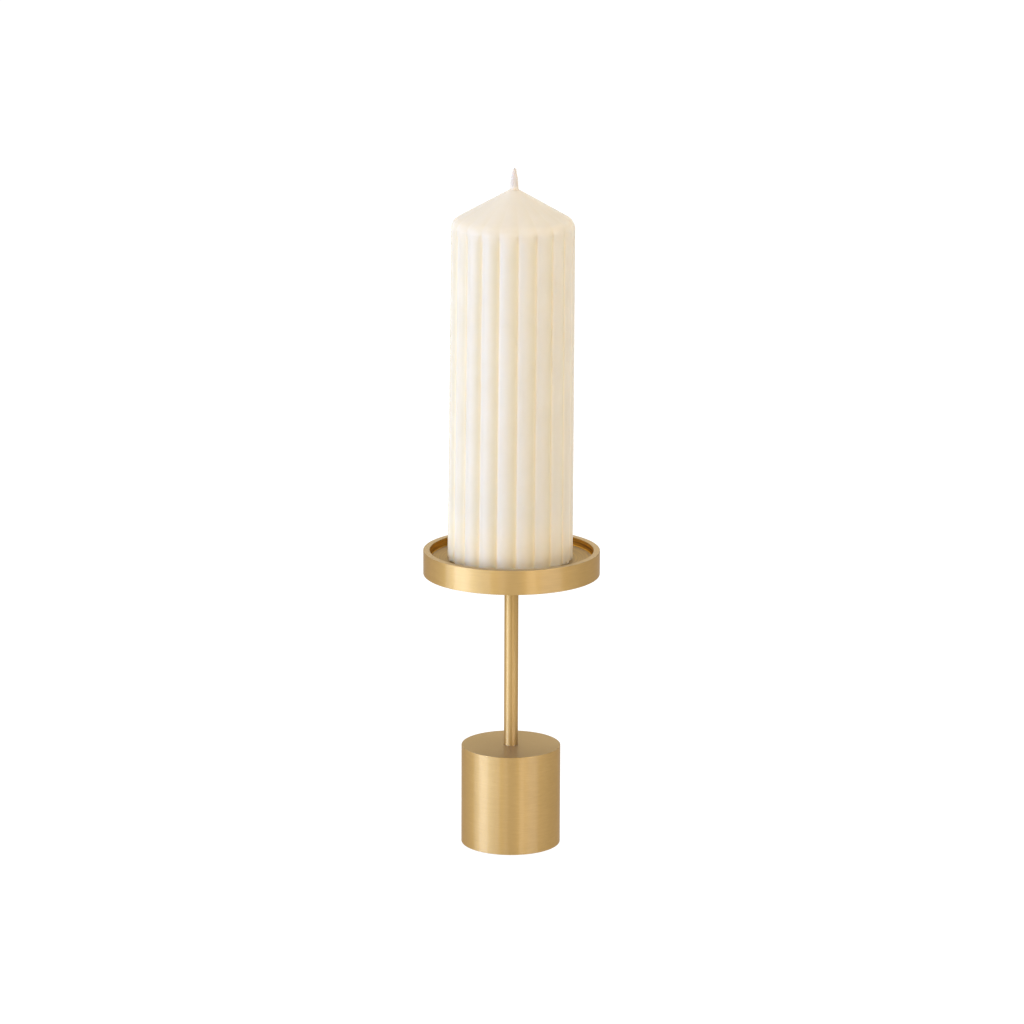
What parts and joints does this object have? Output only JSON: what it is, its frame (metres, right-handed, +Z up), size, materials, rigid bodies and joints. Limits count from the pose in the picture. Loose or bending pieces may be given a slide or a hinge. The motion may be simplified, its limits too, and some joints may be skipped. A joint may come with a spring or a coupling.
{
  "type": "pillar candle holder",
  "caption": "Brushed brass pillar candle holder: heavy round base, thin stem and shallow rimmed dish, with a ribbed ivory pillar candle that lifts off.",
  "frame": {"origin": "middle of the felt pad's underside, which the holder stands on", "axes": "+Z up along the common axis of base, stem, dish and candle; -Y is the front"},
  "size_m": [0.1, 0.1, 0.3908],
  "materials": {
    "brushed_brass": "satin brushed round the axis, lacquered",
    "wax": "smooth moulded ivory wax, slightly translucent",
    "wick_cotton": "braided cotton soaked in wax",
    "felt": "pressed felt",
    "steel": "turned stainless steel",
    "tin_plate": "bright rolled tin plate"
  },
  "bodies": {
    "holder": {"base_weight": "brushed_brass", "felt_pad": "felt", "stem": "brushed_brass", "dish": "brushed_brass", "dish_screw": "steel", "base_screw": "steel", "base_washer": "steel", "spring_washer": "steel"},
    "candle": {"candle_body": "wax", "candle_wick": "wick_cotton", "wick_sustainer": "tin_plate"}
  },
  "joints": [
    {"name": "candle_lift", "type": "slide", "parent": "holder", "child": "candle", "axis": [0, 0, 1], "range_m": [0, 0.06]}
  ]
}
